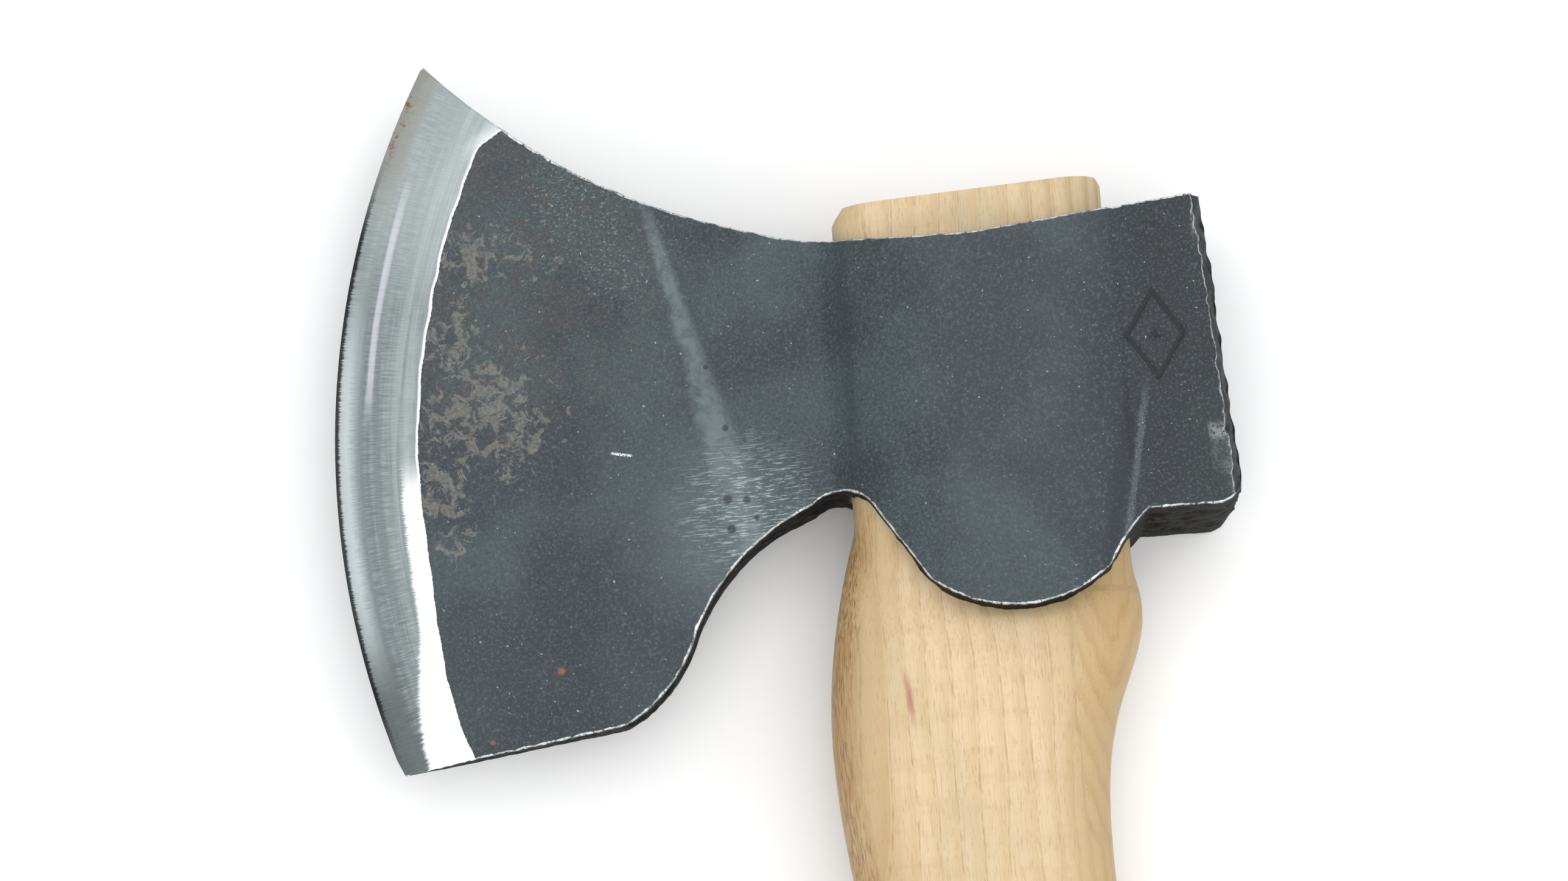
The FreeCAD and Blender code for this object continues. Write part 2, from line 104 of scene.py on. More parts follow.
def make_camera():
    """Looks down on the cheek, a little from the grip's side."""
    distance, roll = 0.70, 4.1
    lean_right, lean_down = 0.035, 0.175
    turn = math.radians(roll)
    right = Vector((math.cos(turn), -math.sin(turn), 0))
    up = Vector((math.sin(turn), math.cos(turn), 0))
    back = (right * lean_right - up * lean_down + Vector((0, 0, 1))).normalized()
    target = Vector((-31.6 * MM, -7.7 * MM, MIDDLE))
    data = bpy.data.cameras.new("camera")
    data.lens, data.sensor_width = 101.2, 36.0
    data.clip_start, data.clip_end = 0.01, 20.0
    camera = bpy.data.objects.new("camera", data)
    bpy.context.scene.collection.objects.link(camera)
    camera.matrix_world = look_matrix(target + back * distance, back, roll)
    bpy.context.scene.camera = camera


def add_area(name, place, target, size, power):
    """A round soft lamp at a place, turned to a target."""
    data = bpy.data.lights.new(name, "AREA")
    data.shape, data.size, data.energy = "DISK", size, power
    light = bpy.data.objects.new(name, data)
    bpy.context.scene.collection.objects.link(light)
    light.location = place
    light.rotation_euler = (Vector(target) - Vector(place)).to_track_quat("-Z", "Y").to_euler()


def make_studio():
    """A pale floor, a soft all-round light and three large soft lamps."""
    bpy.ops.mesh.primitive_plane_add(size=6.0, location=(0, 0, -0.2 * MM))
    floor = bpy.context.active_object
    floor.name = "floor"
    material = bpy.data.materials.new("floor_paper")
    material.use_nodes = True
    shader = material.node_tree.nodes["Principled BSDF"]
    shader.inputs["Base Color"].default_value = (0.86, 0.86, 0.86, 1)
    shader.inputs["Roughness"].default_value = 0.9
    shader.inputs["Specular IOR Level"].default_value = 0.1
    floor.data.materials.append(material)
    world = bpy.data.worlds.new("studio")
    world.use_nodes = True
    world.node_tree.nodes["Background"].inputs["Color"].default_value = (0.98, 0.99, 1.0, 1)
    world.node_tree.nodes["Background"].inputs["Strength"].default_value = 0.9
    bpy.context.scene.world = world
    bpy.context.scene.view_settings.view_transform = "Standard"
    add_area("key", (0.1, 0.15, 1.25), (0, 0, 0), 1.3, 7.0)
    add_area("fill", (0.9, -0.1, 0.9), (0, -0.05, 0), 1.2, 2.5)
    add_area("front", (-0.1, -1.0, 0.9), (0, -0.05, 0), 1.2, 3.5)


# ---------------------------------------------------------------- materials

class Graph:
    """A material's node tree, written as expressions."""

    def __init__(self, name):
        self.material = bpy.data.materials.new(name)
        self.material.use_nodes = True
        self.nodes = self.material.node_tree.nodes
        self.links = self.material.node_tree.links
        self.shader = self.nodes["Principled BSDF"]

    def put(self, socket, value):
        """Links a node's output to a socket, or sets the socket to a constant."""
        if isinstance(value, bpy.types.NodeSocket):
            self.links.new(value, socket)
        else:
            socket.default_value = value

    def math(self, operation, *values):
        """One operation of a math node."""
        node = self.nodes.new("ShaderNodeMath")
        node.operation = operation
        for socket, value in zip(node.inputs, values):
            self.put(socket, value)
        return node.outputs[0]

    def add(self, *values):
        """The sum of several numbers."""
        total = values[0]
        for value in values[1:]:
            total = self.math("ADD", total, value)
        return total

    def times(self, *values):
        """The product of several numbers."""
        total = values[0]
        for value in values[1:]:
            total = self.math("MULTIPLY", total, value)
        return total

    def place(self):
        """Where the shaded point is on the object, in millimetres."""
        coordinates = self.nodes.new("ShaderNodeTexCoord")
        return self.stretched(coordinates.outputs["Object"], 1000, 1000, 1000)

    def stretched(self, vector, *factors):
        """A vector with each of its parts times its own factor."""
        node = self.nodes.new("ShaderNodeVectorMath")
        node.operation = "MULTIPLY"
        self.links.new(vector, node.inputs[0])
        node.inputs[1].default_value = factors
        return node.outputs[0]

    def split(self, vector):
        """The three parts of a vector."""
        node = self.nodes.new("ShaderNodeSeparateXYZ")
        self.links.new(vector, node.inputs[0])
        return node.outputs

    def joined(self, *values):
        """A vector made of three numbers."""
        node = self.nodes.new("ShaderNodeCombineXYZ")
        for socket, value in zip(node.inputs, values):
            self.put(socket, value)
        return node.outputs[0]

    def measure(self, name):
        """A number kept at each vertex of the mesh."""
        node = self.nodes.new("ShaderNodeAttribute")
        node.attribute_name = name
        return node.outputs["Fac"]

    def noise(self, vector, scale, detail=2.0, roughness=0.5, distortion=0.0):
        """Smooth random values, mostly between 0.3 and 0.7."""
        node = self.nodes.new("ShaderNodeTexNoise")
        self.links.new(vector, node.inputs["Vector"])
        for name, value in (("Scale", scale), ("Detail", detail), ("Roughness", roughness),
                            ("Distortion", distortion)):
            node.inputs[name].default_value = value
        return node.outputs[0]

    def step(self, value, start, end, low=0.0, high=1.0):
        """A smooth change from low to high as the value goes from start to end."""
        node = self.nodes.new("ShaderNodeMapRange")
        node.interpolation_type = "SMOOTHSTEP"
        for socket, given in zip(node.inputs, (value, start, end, low, high)):
            self.put(socket, given)
        return node.outputs[0]

    def mix(self, share, first, second):
        """A colour between two others."""
        node = self.nodes.new("ShaderNodeMix")
        node.data_type = "RGBA"
        self.put(node.inputs[0], share)
        self.put(node.inputs[6], first)
        self.put(node.inputs[7], second)
        return node.outputs[2]

    def blend(self, share, first, second):
        """A number between two others."""
        node = self.nodes.new("ShaderNodeMix")
        self.put(node.inputs[0], share)
        self.put(node.inputs[2], first)
        self.put(node.inputs[3], second)
        return node.outputs[0]

    def spot(self, vector, x, y, radius, soft=0.3):
        """1 inside a round spot on the cheek, seen from above."""
        parts = self.split(vector)
        across = self.math("SUBTRACT", parts[0], x)
        up = self.math("SUBTRACT", parts[1], y)
        reach = self.math("SQRT", self.add(self.times(across, across), self.times(up, up)))
        return self.step(reach, radius * (1 - soft), radius * (1 + soft), 1.0, 0.0)

    def finish(self, colour, roughness, metallic, height, depth):
        """Wires the shader; height is in millimetres and depth is how much of it shows."""
        self.put(self.shader.inputs["Base Color"], colour)
        self.put(self.shader.inputs["Roughness"], roughness)
        self.put(self.shader.inputs["Metallic"], metallic)
        bump = self.nodes.new("ShaderNodeBump")
        bump.inputs["Distance"].default_value = depth * MM
        self.put(bump.inputs["Height"], height)
        self.links.new(bump.outputs[0], self.shader.inputs["Normal"])
        return self.material


def srgb(red, green, blue):
    """A colour given as it looks on a screen, 0 to 255."""
    def linear(value):
        value /= 255
        return value / 12.92 if value <= 0.04045 else ((value + 0.055) / 1.055) ** 2.4
    return (linear(red), linear(green), linear(blue), 1.0)


def head_steel():
    """Dark forge scale, rims worn bare and painted with a bright highlight, and a ground bevel."""
    g = Graph("forged_steel")
    spot = g.place()
    fine, grit = g.noise(spot, 2.2, 4.0, 0.6), g.noise(spot, 7.0, 2.0)
    ruled = g.joined(g.times(g.measure("along"), 4.5), g.times(g.measure("inset"), 0.3), 0.0)
    lines = g.noise(ruled, 1.0, 5.0, 0.7)
    rim, wall = g.measure("rim"), g.measure("wall")
    x, _, z = g.split(spot)
    depth = g.math("ABSOLUTE", g.add(z, -MIDDLE / MM))
    by_poll = g.step(x, 34.2, 34.8)     # then the poll's rough face and its two long edges
    crown = g.times(g.step(depth, 15.15, 14.85), by_poll)
    crest = g.times(g.step(g.math("ABSOLUTE", g.add(depth, -15.1)), 0.28, 0.05), by_poll)
    scale = forge_scale(g, spot, fine)
    scale = wear_marks(g, spot, grit, scale)
    walled = g.math("MAXIMUM", g.step(wall, 0.1, 0.5), crown)
    scale = g.mix(walled, scale, black_wall(g, spot, fine, g.step(wall, 0.75, 0.95)))
    metal = ground_metal(g, spot, lines)
    ragged = g.add(g.measure("ground"), g.times(g.add(lines, -0.5), 0.06),
                   g.times(g.add(fine, -0.5), 0.06))
    cut = g.step(ragged, -0.012, 0.012)
    uneven = g.noise(spot, 0.35, 3.0, 0.6)
    # Worn bare steel along the rims, painted as a near-white highlight line; the crest adds a
    # painted highlight along the poll's two long edges.
    rimmed = g.times(g.step(g.add(rim, g.times(uneven, -0.62)), 0.02, -0.14),
                     g.add(1.0, g.times(wall, -0.9)), g.add(1.0, g.times(crown, -0.9)))
    bare_and_highlight = g.times(g.math("MAXIMUM", rimmed, g.times(crest, 0.6)), g.step(fine, 0.34, 0.5),
                   g.step(uneven, 0.3, 0.6, 0.35, 1.0))
    colour = g.mix(g.times(bare_and_highlight, 0.85), scale, srgb(222, 227, 228))
    colour = g.mix(cut, colour, metal)
    bare_metal = g.math("MAXIMUM", cut, g.times(bare_and_highlight, 0.6))
    dull = g.blend(walled, g.step(fine, 0.3, 0.7, 0.4, 0.6), 0.75)
    roughness = g.blend(bare_metal, dull, g.step(lines, 0.3, 0.7, 0.32, 0.44))
    height = g.blend(cut, g.add(fine, g.times(grit, 0.35)), g.times(lines, 0.55))
    metallic = g.blend(bare_metal, g.blend(walled, 0.2, 0.9), 0.95)
    g.shader.inputs["Specular IOR Level"].default_value = 0.36
    return g.finish(colour, roughness, metallic, height, 0.06)


def forge_scale(g, spot, fine):
    """Blue-grey scale, cloudy, browner and flaked towards the bevel."""
    x, y, z = g.split(spot)
    broad, middling = g.noise(spot, 0.05, 2.0), g.noise(spot, 0.4, 4.0, 0.6, 0.4)
    inset = g.measure("inset")
    scale = g.mix(g.step(broad, 0.38, 0.62), srgb(46, 53, 59), srgb(60, 71, 74))
    hue = g.noise(spot, 0.9, 3.0, 0.6)
    scale = g.mix(g.step(hue, 0.54, 0.7, 0.0, 0.5), scale, srgb(66, 62, 76))
    scale = g.mix(g.step(hue, 0.46, 0.3, 0.0, 0.5), scale, srgb(56, 70, 66))
    brown = g.times(g.step(inset, 64, 26), g.step(middling, 0.4, 0.58), g.step(y, -18, 10))
    scale = g.mix(g.times(brown, 0.7), scale, srgb(64, 62, 62))
    scale = g.mix(g.step(x, 10, 28, 0.0, 0.85), scale, srgb(27, 32, 37))
    scale = g.mix(g.step(y, -22, -46, 0.0, 0.45), scale, srgb(38, 43, 49))
    scale = g.mix(g.step(fine, 0.45, 0.8, 0.0, 0.55), scale, srgb(104, 113, 115))
    scale = g.mix(g.step(fine, 0.48, 0.25, 0.0, 0.65), scale, srgb(34, 38, 42))
    lace = g.noise(spot, 0.42, 6.0, 0.7, 0.8)
    region = 0.0
    for px, py, radius, strength in FLAKED:
        region = g.math("MAXIMUM", region, g.times(g.spot(spot, px, py, radius, 0.75), strength))
    flaked = g.step(g.add(lace, g.times(region, 0.2)), 0.665, 0.705)
    pale = g.mix(g.step(fine, 0.3, 0.7), srgb(92, 90, 84), srgb(128, 126, 118))
    scale = g.mix(g.times(flaked, g.step(inset, 46, 34), 0.6), scale, pale)
    frost = g.times(g.step(g.noise(g.stretched(spot, 1.6, 2.6, 2.0), 1.0, 4.0, 0.7), 0.56, 0.66),
                    g.math("MAXIMUM", g.spot(spot, -62, 33, 9, 0.8), g.spot(spot, -56, 23, 7, 0.9)))
    scale = g.mix(g.times(frost, 0.75), scale, srgb(140, 142, 138))
    specks = g.times(g.step(g.noise(spot, 1.9, 1.0), 0.745, 0.77), g.step(hue, 0.42, 0.6, 0.2, 0.9))
    scale = g.mix(specks, scale, srgb(158, 164, 164))
    # Painted shade in the groove and dot of the stamped lozenge.
    across = g.times(g.math("ABSOLUTE", g.add(x, -MARK[0] / MM)), 1 / MARK_HALF[0])
    up = g.times(g.math("ABSOLUTE", g.add(y, -MARK[1] / MM)), 1 / MARK_HALF[1])
    groove = g.step(g.math("ABSOLUTE", g.add(across, up, -1.0)), 0.13, 0.06)
    dot = g.step(g.add(across, up), 0.16, 0.1)
    mark_groove_shade = g.times(g.math("MAXIMUM", groove, dot), g.step(z, 16, 17))
    return g.mix(g.times(mark_groove_shade, 0.8), scale, srgb(20, 23, 26))


def wear_marks(g, spot, grit, scale):
    """Painted light and shade along creases, strokes, pits, a scratch and two specks of rust."""
    x, y, _ = g.split(spot)
    middling = g.noise(spot, 0.5, 3.0, 0.6)
    crease = g.math("ABSOLUTE",
                    g.add(x, g.times(y, CREASE_LEAN), 43.4, g.times(middling, 1.6), -0.8))
    width = g.step(y, 26, -18, 1.6, 4.2)
    lit = g.times(g.step(g.math("DIVIDE", crease, width), 1.0, 0.25), g.step(y, 38, 22),
                  g.step(middling, 0.3, 0.62, 0.35, 1.0))
    scale = g.mix(g.times(lit, 0.5), scale, srgb(116, 128, 128))
    # Painted shade along the crease where the eye's bulge rises.
    off_shaded_crease = g.math("ABSOLUTE", g.add(x, 20.6))
    scale = g.mix(g.step(off_shaded_crease, 1.8, 0.2, 0.0, 0.35), scale, srgb(40, 46, 50))
    # Painted shade in a band beside the rear crease, low down, and a painted highlight line along
    # its edge, broken by the grit.
    nape = g.add(x, g.times(y, -0.2), -25.9, g.times(middling, 0.8), -0.4)
    low_down = g.step(y, -3, -12)
    shaded = g.step(g.math("ABSOLUTE", g.add(nape, 1.6)), 2.2, 0.4)
    scale = g.mix(g.times(shaded, low_down, 0.45), scale, srgb(26, 30, 34))
    rear_crease_highlight = g.step(g.math("ABSOLUTE", g.add(nape, -0.7)), 0.8, 0.2)
    scale = g.mix(g.times(rear_crease_highlight, low_down, g.step(grit, 0.4, 0.6), 0.6), scale,
                  srgb(112, 120, 122))
    throat = g.spot(spot, -41.0, -24.0, 13.0, 0.6)
    scale = g.mix(g.times(throat, 0.3), scale, srgb(104, 116, 118))
    strokes = g.noise(g.stretched(spot, 0.45, 4.6, 1.0), 1.0, 3.0, 0.65)
    worn = g.times(g.step(strokes, 0.52, 0.64), g.spot(spot, -37.5, -19.0, 9.0, 0.8))
    scale = g.mix(g.times(worn, 0.8), scale, srgb(166, 176, 177))
    for px, py, radius in PITS:
        scale = g.mix(g.times(g.spot(spot, px, py, radius), 0.7), scale, srgb(30, 33, 36))
    for px, py, radius in RUST:
        dot = g.times(g.spot(spot, px, py, radius, 0.5), g.step(grit, 0.38, 0.52))
        scale = g.mix(dot, scale, srgb(150, 84, 50))
    scratch = g.times(
        g.step(g.math("ABSOLUTE", g.add(y, g.times(x, 0.2), 19.9, g.times(grit, 0.4))), 0.28, 0.1),
        g.step(g.math("ABSOLUTE", g.add(x, 57.3)), 1.9, 1.2), g.step(grit, 0.42, 0.52))
    return g.mix(scratch, scale, srgb(226, 229, 232))


def black_wall(g, spot, fine, dark):
    """Rough scale on the walls, painted almost black as shade below, with a few pale and reddish
    specks.
    """
    cloud = g.noise(spot, 0.35, 3.0, 0.6)
    open_scale = g.mix(g.step(cloud, 0.4, 0.62), srgb(52, 55, 57), srgb(74, 79, 80))
    open_scale = g.mix(g.step(fine, 0.5, 0.3, 0.0, 0.6), open_scale, srgb(34, 36, 37))
    # Painted shade: the walls below, turned away from the lamps, almost black.
    shaded_scale = g.mix(g.step(fine, 0.4, 0.7), srgb(16, 16, 16), srgb(46, 46, 43))
    black = g.mix(dark, open_scale, shaded_scale)
    grains = g.noise(spot, 0.9, 3.0, 0.6)
    black = g.mix(g.step(grains, 0.69, 0.73, 0.0, 0.7), black, srgb(116, 114, 102))
    return g.mix(g.step(g.noise(spot, 0.3, 3.0), 0.66, 0.72, 0.0, 0.4), black, srgb(78, 48, 44))


def ground_metal(g, spot, lines):
    """The bevel: grinding lines across it, soft bands along it, painted highlights and a bright
    inner band that is a painted reflection.
    """
    along, inset = g.measure("along"), g.measure("inset")
    behind = g.times(g.measure("ground"), 5.5)      # distance to the bevel's inner end, mm
    bands = g.noise(g.joined(g.times(along, 0.022), g.times(inset, 0.8), 0.0), 1.0, 3.0, 0.6)
    patch = g.noise(g.joined(g.times(along, 0.12), g.times(inset, 0.2), 3.0), 1.0, 3.0)
    ragged = g.times(g.add(lines, -0.5), 5.0)
    near_edge = g.step(inset, 7.0, 2.8)
    metal = g.mix(g.step(lines, 0.32, 0.7), srgb(108, 116, 117), srgb(160, 168, 169))
    metal = g.mix(g.step(inset, 6, 12, 0.0, 0.7), metal, srgb(172, 181, 181))
    metal = g.mix(g.step(bands, 0.6, 0.4, 0.0, 0.45), metal, srgb(110, 118, 120))
    metal = g.mix(g.step(patch, 0.55, 0.75, 0.0, 0.3), metal, srgb(120, 124, 122))
    metal = g.mix(g.times(near_edge, g.step(along, 24, 8, 0.0, 0.4)), metal, srgb(104, 114, 115))
    metal = g.mix(g.step(along, 24, 50, 0.0, 0.4), metal, srgb(196, 204, 204))
    # Painted highlights: a bright outer area at mid heights and a bluish-white streak a few
    # millimetres in.
    outer = g.times(g.step(g.add(inset, ragged), 4.4, 1.6), g.step(along, 40, 14),
                    g.step(along, -40, -14))
    metal = g.mix(g.times(outer, 0.6), metal, srgb(222, 231, 232))
    off_streak = g.math("ABSOLUTE", g.add(inset, -5.4, g.times(bands, 2.0), -1.0))
    streak = g.times(g.step(off_streak, 0.9, 0.2), g.step(along, 8, 18), g.step(along, 56, 40))
    metal = g.mix(g.times(streak, 0.5), metal, srgb(226, 228, 236))
    toe = g.times(g.step(along, 40, 56), g.step(inset, 5.0, 2.5))
    metal = g.mix(g.times(toe, 0.8), metal, srgb(150, 151, 144))
    heel = g.times(g.step(along, -24, -38), g.step(g.add(inset, ragged), 6.5, 3.5))
    metal = g.mix(g.times(heel, 0.7), metal, srgb(94, 98, 97))
    # Painted reflection of the lamp: a white band inside the bevel's inner end in its lower half, a
    # soft white patch at the top corner and a white line along that end.
    width = g.add(g.step(along, -24, -52, 3.2, 7.5), g.times(ragged, 0.5))
    band = g.times(g.step(g.math("SUBTRACT", behind, width), 0.5, -0.5), g.step(along, 5, -5))
    corner_reflection = g.times(g.step(behind, 3.2, 0.6), g.step(along, 56, 64))
    crease_highlight = g.times(g.step(behind, 0.55, 0.25), g.step(lines, 0.3, 0.5, 0.5, 1.0))
    painted_reflection = g.math("MAXIMUM", band, g.math("MAXIMUM", g.times(corner_reflection, 0.45), crease_highlight))
    metal = g.mix(painted_reflection, metal, srgb(254, 254, 255))
    # Painted dark reflection along the rolled cutting edge, over most of its length.
    dark_edge_reflection = g.times(g.step(g.add(inset, g.times(ragged, 0.35)), 0.95, 0.45),
                        g.step(along, 56, 40), g.step(along, -48, -34))
    metal = g.mix(g.times(dark_edge_reflection, 0.92), metal, srgb(26, 28, 30))
    flecks = g.times(g.step(g.noise(spot, 0.9, 4.0, 0.65), 0.57, 0.63), g.step(along, 50, 60),
                     g.step(inset, 2.6, 0.6))
    return g.mix(g.times(flecks, 0.85), metal, srgb(146, 84, 48))


def hickory(name="hickory", pale=srgb(194, 175, 139), dark=srgb(188, 161, 118)):
    """Oiled hickory: growth rings about a pith far behind the handle, pores and flecks, and painted
    shade mixed into its darker sides.
    """
    g = Graph(name)
    spot = g.place()
    x, y, z = g.split(spot)
    front = g.measure("front")
    drift = g.noise(g.stretched(spot, 0.04, 0.012, 0.04), 1.0, 2.0)
    waver = g.noise(g.stretched(spot, 0.5, 0.07, 0.5), 1.0, 3.0, 0.6)
    share = growth_rings(g, (x, y, z), drift, waver)
    fibres = g.noise(g.stretched(spot, 5.0, 0.12, 5.0), 1.0, 3.0, 0.6)
    pores = g.noise(g.stretched(spot, 4.5, 0.5, 4.5), 1.0, 2.0)
    cloud = g.noise(g.stretched(spot, 0.07, 0.025, 0.07), 1.0, 2.0)
    colour = g.mix(g.step(cloud, 0.35, 0.65), pale, between(pale, srgb(212, 186, 148), 0.7))
    below = g.times(g.step(y, -16, -30), g.step(y, -328, -290))
    # Golden tone to the right and near the front edge: partly the wood's own colour, partly painted
    # shade where the handle rounds away.
    golden_and_side_shade = g.math("MAXIMUM", g.step(x, 3, 17), g.step(front, 12, 6, 0.0, 0.5))
    colour = g.mix(g.times(golden_and_side_shade, below, 0.85), colour, srgb(166, 137, 86))
    early_wood = g.mix(golden_and_side_shade, dark, srgb(152, 120, 72))
    colour = g.mix(g.step(share, 0.55, 0.0, 0.0, 0.5), colour, early_wood)
    strength = g.step(g.noise(g.stretched(spot, 0.15, 0.3, 0.15), 1.0, 3.0), 0.35, 0.6, 0.2, 0.8)
    line = g.times(g.step(g.math("ABSOLUTE", g.add(share, -0.93)), 0.06, 0.01), strength)
    colour = g.mix(g.times(line, g.step(pores, 0.36, 0.56, 0.3, 0.8)), colour, srgb(162, 128, 84))
    colour = g.mix(g.step(fibres, 0.42, 0.7, 0.0, 0.45), colour, between(pale, dark, 1.3))
    ripple = g.noise(g.stretched(spot, 0.07, 0.3, 0.07), 1.0, 3.0, 0.6)
    colour = g.mix(g.step(ripple, 0.46, 0.64, 0.0, 0.22), colour, srgb(178, 150, 114))
    pitted = g.step(pores, 0.6, 0.7, 0.0, 0.35)
    colour = g.mix(pitted, colour, srgb(172, 136, 94))
    # A striped darker strip along the front edge: partly grain, partly painted shade where the
    # handle rounds away.
    strip = g.times(g.step(g.add(front, g.times(waver, 4.0)), 7.5, 3.0), below)
    stripes = g.noise(g.stretched(spot, 2.0, 0.06, 2.0), 1.0, 3.0, 0.6)
    striped = g.times(strip, g.step(stripes, 0.35, 0.6, 0.15, 0.8))
    colour = g.mix(striped, colour, srgb(160, 120, 66))
    flecks = g.noise(g.stretched(spot, 3.2, 0.3, 3.2), 1.0, 3.0, 0.6)
    dashes = g.times(strip, g.step(flecks, 0.52, 0.62))
    colour = g.mix(g.times(dashes, 0.75), colour, srgb(100, 68, 38))
    colour = g.mix(g.step(y, -70, -150, 0.0, 0.3), colour, srgb(206, 172, 122))
    off = g.math("ABSOLUTE", g.add(x, g.times(y, 0.1), 20.0, g.times(waver, 1.0), -0.5))
    streak = g.times(g.step(off, 0.75, 0.1), g.step(g.math("ABSOLUTE", g.add(y, 51.6)), 5.5, 0.5))
    colour = g.mix(g.times(streak, 0.75), colour, srgb(150, 86, 68))
    height = g.add(g.times(fibres, 0.5), g.times(pitted, -1.0), g.times(line, -0.5))
    return g.finish(colour, g.step(fibres, 0.3, 0.7, 0.44, 0.58), 0.0, height, 0.07)


def growth_rings(g, place, drift, waver):
    """How far a point is from one growth ring to the next, 0 to 1.

    The rings are pointed where the bulge behind the head cuts across them.
    """
    x, y, z = place
    behind = g.add(x, g.times(y, -0.045), -78.0)
    beneath = g.add(z, 44.0)
    reach = g.math("SQRT", g.add(g.times(behind, behind), g.times(beneath, beneath)))
    rings = g.add(g.times(reach, 0.37), g.times(drift, 2.4), g.times(waver, 0.18))
    from_back = g.add(x, -17.0)
    arms = g.math("SQRT", g.add(g.times(from_back, from_back), 0.6))
    pointed = g.add(y, g.times(arms, -2.8), g.times(waver, 5.0), g.times(drift, 4.0))
    flame = g.times(g.step(g.add(x, g.times(waver, 2.0)), 10.5, 13.5), g.step(y, -33, -41),
                    g.step(y, -80, -68))
    return g.math("FRACT", g.blend(g.step(flame, 0.3, 0.5), rings, g.times(pointed, 0.14)))


def between(first, second, share):
    """A colour between two constants."""
    return tuple(a * (1 - share) + b * share for a, b in zip(first, second))


def wedge_steel():
    """Plain mild steel, dulled by the hammer."""
    g = Graph("wedge_steel")
    spot = g.place()
    cloud, grit = g.noise(spot, 0.6, 3.0), g.noise(spot, 4.0, 3.0)
    colour = g.mix(g.step(cloud, 0.35, 0.65), srgb(120, 122, 122), srgb(168, 170, 170))
    return g.finish(colour, g.step(grit, 0.3, 0.7, 0.38, 0.6), 0.9, grit, 0.05)


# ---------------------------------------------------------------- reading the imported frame

class Solid:
    """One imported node, read by rays."""

    def __init__(self, name):
        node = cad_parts[name]
        place = node.matrix_world
        self.points = [place @ vertex.co for vertex in node.data.vertices]
        faces = [tuple(face.vertices) for face in node.data.polygons]
        self.tree = BVHTree.FromPolygons(self.points, faces)

    def hit(self, start, direction):
        """The first point of the surface that a ray meets, or None."""
        return self.tree.ray_cast(Vector(start), Vector(direction))[0]


